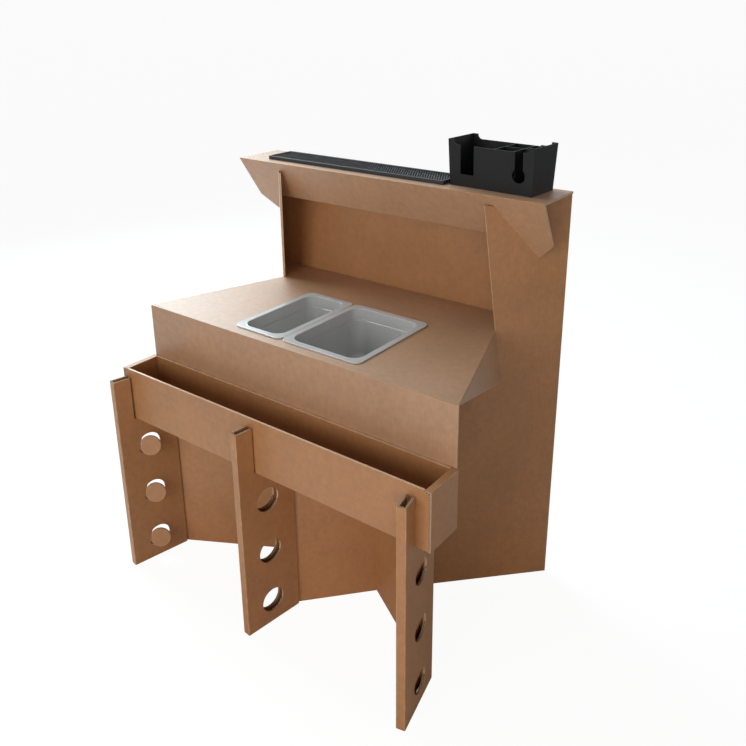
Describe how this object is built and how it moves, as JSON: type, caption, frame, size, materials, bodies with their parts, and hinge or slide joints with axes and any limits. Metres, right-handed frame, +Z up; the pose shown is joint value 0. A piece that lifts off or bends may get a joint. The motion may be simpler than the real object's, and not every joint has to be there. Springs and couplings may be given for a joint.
{
  "type": "portable bar",
  "caption": "Free-standing folded-board bar with a slotted counter for pans, a bottle trough on sleeve legs, a raised shelf and folding round tabs.",
  "frame": {"origin": "on the floor, under the middle of the bounding box", "axes": "+X along the counter to the guest-side right, +Y from the front trough to the back panel, +Z up"},
  "size_m": [1.082, 0.7296, 1.325],
  "materials": {
    "kraft_board": "natural kraft, matt",
    "frosted_plastic": "frosted translucent",
    "black_rubber": "matt",
    "black_plastic": "satin"
  },
  "bodies": {
    "bar": {"back_panel": "kraft_board", "side_wall_right": "kraft_board", "side_wall_left": "kraft_board", "bay_wall_left": "kraft_board", "bay_wall_right": "kraft_board", "leg_left": "kraft_board", "leg_middle": "kraft_board", "leg_right": "kraft_board", "counter_top": "kraft_board"},
    "leg_left_tab_low": {"leg_left_tab_low": "kraft_board"},
    "leg_left_tab_mid": {"leg_left_tab_mid": "kraft_board"},
    "leg_left_tab_top": {"leg_left_tab_top": "kraft_board"},
    "leg_middle_tab_low": {"leg_middle_tab_low": "kraft_board"},
    "leg_middle_tab_mid": {"leg_middle_tab_mid": "kraft_board"},
    "leg_middle_tab_top": {"leg_middle_tab_top": "kraft_board"},
    "leg_right_tab_low": {"leg_right_tab_low": "kraft_board"},
    "leg_right_tab_mid": {"leg_right_tab_mid": "kraft_board"},
    "leg_right_tab_top": {"leg_right_tab_top": "kraft_board"},
    "counter_flap_right": {"counter_flap_right": "kraft_board"},
    "counter_flap_left": {"counter_flap_left": "kraft_board"},
    "pan_third": {"pan_third": "frosted_plastic"},
    "pan_half": {"pan_half": "frosted_plastic"},
    "trough": {"trough_tray": "kraft_board", "trough_end_right": "kraft_board", "trough_end_left": "kraft_board"},
    "shelf": {"shelf_cover": "kraft_board"},
    "bar_mat": {"bar_mat": "black_rubber"},
    "bar_caddy": {"bar_caddy": "black_plastic"}
  },
  "joints": [
    {"name": "leg_left_tab_low_fold", "type": "hinge", "parent": "bar", "child": "leg_left_tab_low", "pos_m": [-0.50426, -0.30516, 0.07725], "axis": [-0.0538, -0.2532, -0.9659], "range_deg": [-38, 52]},
    {"name": "leg_left_tab_mid_fold", "type": "hinge", "parent": "bar", "child": "leg_left_tab_mid", "pos_m": [-0.50426, -0.30516, 0.24225], "axis": [-0.0538, -0.2532, -0.9659], "range_deg": [-38, 52]},
    {"name": "leg_left_tab_top_fold", "type": "hinge", "parent": "bar", "child": "leg_left_tab_top", "pos_m": [-0.50426, -0.30516, 0.40725], "axis": [-0.0538, -0.2532, -0.9659], "range_deg": [-38, 52]},
    {"name": "leg_middle_tab_low_fold", "type": "hinge", "parent": "bar", "child": "leg_middle_tab_low", "pos_m": [-0.03069, -0.29297, 0.0898], "axis": [0.0984, 0.7002, 0.7071], "range_deg": [-40, 50]},
    {"name": "leg_middle_tab_mid_fold", "type": "hinge", "parent": "bar", "child": "leg_middle_tab_mid", "pos_m": [-0.03069, -0.29297, 0.2548], "axis": [0.0984, 0.7002, 0.7071], "range_deg": [-40, 50]},
    {"name": "leg_middle_tab_top_fold", "type": "hinge", "parent": "bar", "child": "leg_middle_tab_top", "pos_m": [-0.03069, -0.29297, 0.4198], "axis": [0.0984, 0.7002, 0.7071], "range_deg": [-40, 50]},
    {"name": "leg_right_tab_low_fold", "type": "hinge", "parent": "bar", "child": "leg_right_tab_low", "pos_m": [0.48362, -0.26897, 0.098], "axis": [-0.2079, 0.9781, 0], "range_deg": [-16, 14]},
    {"name": "leg_right_tab_mid_fold", "type": "hinge", "parent": "bar", "child": "leg_right_tab_mid", "pos_m": [0.48362, -0.26897, 0.263], "axis": [-0.2079, 0.9781, 0], "range_deg": [-16, 14]},
    {"name": "leg_right_tab_top_fold", "type": "hinge", "parent": "bar", "child": "leg_right_tab_top", "pos_m": [0.48362, -0.26897, 0.428], "axis": [-0.2079, 0.9781, 0], "range_deg": [-16, 14]},
    {"name": "counter_flap_right_fold", "type": "hinge", "parent": "bar", "child": "counter_flap_right", "pos_m": [0.535, -0.19522, 0.816], "axis": [0.3143, -0.9493, 0], "range_deg": [0, 80]},
    {"name": "counter_flap_left_fold", "type": "hinge", "parent": "bar", "child": "counter_flap_left", "pos_m": [-0.535, -0.19522, 0.816], "axis": [0.3143, 0.9493, 0], "range_deg": [0, 80]},
    {"name": "pan_third_lift", "type": "slide", "parent": "bar", "child": "pan_third", "axis": [0, 0, 1], "range_m": [0, 0.2]},
    {"name": "pan_half_lift", "type": "slide", "parent": "bar", "child": "pan_half", "axis": [0, 0, 1], "range_m": [0, 0.2]},
    {"name": "trough_lift", "type": "slide", "parent": "bar", "child": "trough", "axis": [0, 0, 1], "range_m": [0, 0.2]},
    {"name": "shelf_lift", "type": "slide", "parent": "bar", "child": "shelf", "axis": [0, 0, 1], "range_m": [0, 0.25]},
    {"name": "bar_mat_lift", "type": "slide", "parent": "shelf", "child": "bar_mat", "axis": [0, 0, 1], "range_m": [0, 0.15]},
    {"name": "bar_caddy_lift", "type": "slide", "parent": "shelf", "child": "bar_caddy", "axis": [0, 0, 1], "range_m": [0, 0.2]}
  ]
}
